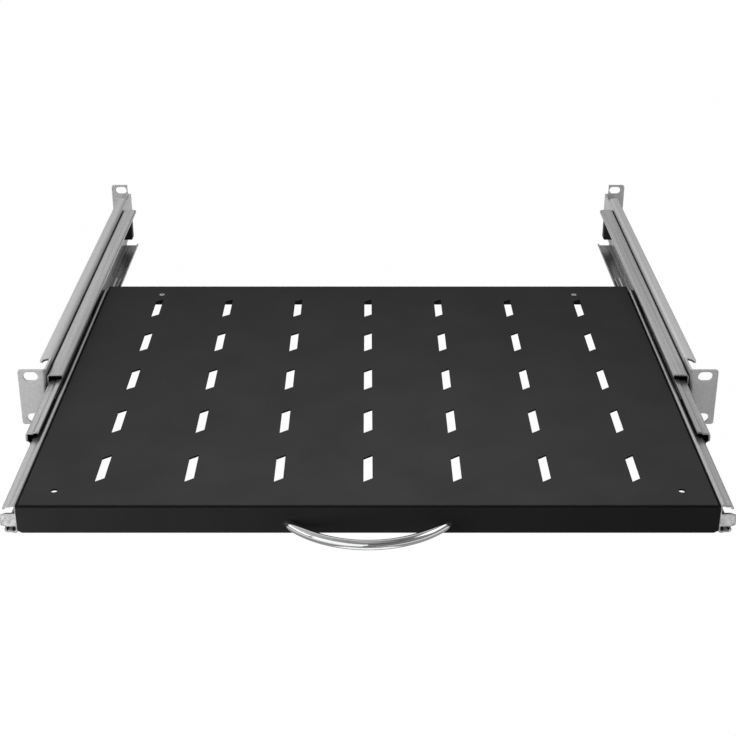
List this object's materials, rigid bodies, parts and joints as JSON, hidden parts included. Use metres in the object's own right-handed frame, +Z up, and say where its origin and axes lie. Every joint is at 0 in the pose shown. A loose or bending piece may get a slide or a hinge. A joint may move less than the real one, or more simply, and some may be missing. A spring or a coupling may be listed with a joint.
{
  "type": "sliding rack shelf",
  "caption": "Vented black steel tray with a chrome bow handle that slides out of a rack on ball-bearing telescopic slides held by slotted mounting ears.",
  "frame": {"origin": "centre of the four front ear slots, on the ears' rear face, where they meet the front rack posts", "axes": "+X to the right as seen from the front, +Y to the rear of the rack, +Z up"},
  "size_m": [0.4826, 0.6006, 0.0416],
  "materials": {
    "black_coat": "fine powder coat",
    "zinc_sheet": "bright zinc plate",
    "bracket_sheet": "matt zinc plate",
    "chrome_bar": "polished chrome plate",
    "cage_strip": "stamped steel strip",
    "ball_steel": "polished",
    "black_plastic": "moulded",
    "fastener": "zinc plate"
  },
  "bodies": {
    "fixed_rails": {"left_outer_rail": "zinc_sheet", "left_front_bracket": "bracket_sheet", "left_rail_rivets": "fastener", "left_clamp_bolts": "fastener", "left_clamp_nuts": "fastener", "left_rear_bumper": "black_plastic", "right_outer_rail": "zinc_sheet", "right_front_bracket": "bracket_sheet", "right_rail_rivets": "fastener", "right_clamp_bolts": "fastener", "right_clamp_nuts": "fastener", "right_rear_bumper": "black_plastic"},
    "tray": {"tray_panel": "black_coat", "handle": "chrome_bar", "handle_screws": "fastener", "tray_rivets": "fastener", "left_inner_rail": "zinc_sheet", "left_tray_screws": "fastener", "right_inner_rail": "zinc_sheet", "right_tray_screws": "fastener"},
    "left_middle_rail": {"left_middle_rail": "zinc_sheet"},
    "left_outer_bearing": {"left_outer_cage": "cage_strip", "left_outer_balls": "ball_steel"},
    "left_inner_bearing": {"left_inner_cage": "cage_strip", "left_inner_balls": "ball_steel"},
    "left_rear_bracket": {"left_rear_bracket": "bracket_sheet"},
    "right_middle_rail": {"right_middle_rail": "zinc_sheet"},
    "right_outer_bearing": {"right_outer_cage": "cage_strip", "right_outer_balls": "ball_steel"},
    "right_inner_bearing": {"right_inner_cage": "cage_strip", "right_inner_balls": "ball_steel"},
    "right_rear_bracket": {"right_rear_bracket": "bracket_sheet"}
  },
  "joints": [
    {"name": "tray_slide", "type": "slide", "parent": "fixed_rails", "child": "tray", "axis": [0, -1, 0], "range_m": [-0.1635, 0.1865]},
    {"name": "left_middle_rail_slide", "type": "slide", "parent": "fixed_rails", "child": "left_middle_rail", "axis": [0, -1, 0], "range_m": [-0.08175, 0.09325]},
    {"name": "left_outer_bearing_slide", "type": "slide", "parent": "fixed_rails", "child": "left_outer_bearing", "axis": [0, -1, 0], "range_m": [-0.04088, 0.04662]},
    {"name": "left_inner_bearing_slide", "type": "slide", "parent": "fixed_rails", "child": "left_inner_bearing", "axis": [0, -1, 0], "range_m": [-0.12262, 0.13987]},
    {"name": "left_rear_bracket_adjust", "type": "slide", "parent": "fixed_rails", "child": "left_rear_bracket", "axis": [0, 1, 0], "range_m": [-0.03, 0.03]},
    {"name": "right_middle_rail_slide", "type": "slide", "parent": "fixed_rails", "child": "right_middle_rail", "axis": [0, -1, 0], "range_m": [-0.08175, 0.09325]},
    {"name": "right_outer_bearing_slide", "type": "slide", "parent": "fixed_rails", "child": "right_outer_bearing", "axis": [0, -1, 0], "range_m": [-0.04088, 0.04662]},
    {"name": "right_inner_bearing_slide", "type": "slide", "parent": "fixed_rails", "child": "right_inner_bearing", "axis": [0, -1, 0], "range_m": [-0.12262, 0.13987]},
    {"name": "right_rear_bracket_adjust", "type": "slide", "parent": "fixed_rails", "child": "right_rear_bracket", "axis": [0, 1, 0], "range_m": [-0.03, 0.03]}
  ],
  "couplings": [
    {"joint": "left_middle_rail_slide", "follows": "tray_slide", "ratio": 0.5},
    {"joint": "left_outer_bearing_slide", "follows": "tray_slide", "ratio": 0.25},
    {"joint": "left_inner_bearing_slide", "follows": "tray_slide", "ratio": 0.75},
    {"joint": "right_middle_rail_slide", "follows": "tray_slide", "ratio": 0.5},
    {"joint": "right_outer_bearing_slide", "follows": "tray_slide", "ratio": 0.25},
    {"joint": "right_inner_bearing_slide", "follows": "tray_slide", "ratio": 0.75}
  ]
}
